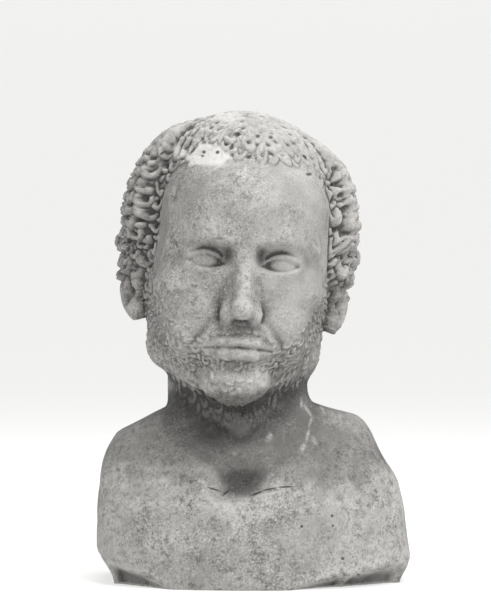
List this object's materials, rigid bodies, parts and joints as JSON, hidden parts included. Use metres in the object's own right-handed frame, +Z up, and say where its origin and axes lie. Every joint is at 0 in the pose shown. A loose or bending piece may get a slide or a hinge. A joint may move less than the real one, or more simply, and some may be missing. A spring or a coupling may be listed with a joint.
{
  "type": "marble herm bust",
  "caption": "Weathered marble herm bust of a bearded head with short curled hair, on a neck and a bust cut flat at the back, with a flat underside.",
  "frame": {"origin": "on the flat underside, straight below the middle of the neck", "axes": "+Z up, the face looks along -Y, +X is to the right of somebody facing the herm"},
  "size_m": [0.2668, 0.2512, 0.4002],
  "materials": {
    "marble": "weathered, fine-grained, matt"
  },
  "bodies": {
    "root": {"herm": "marble"}
  },
  "joints": []
}
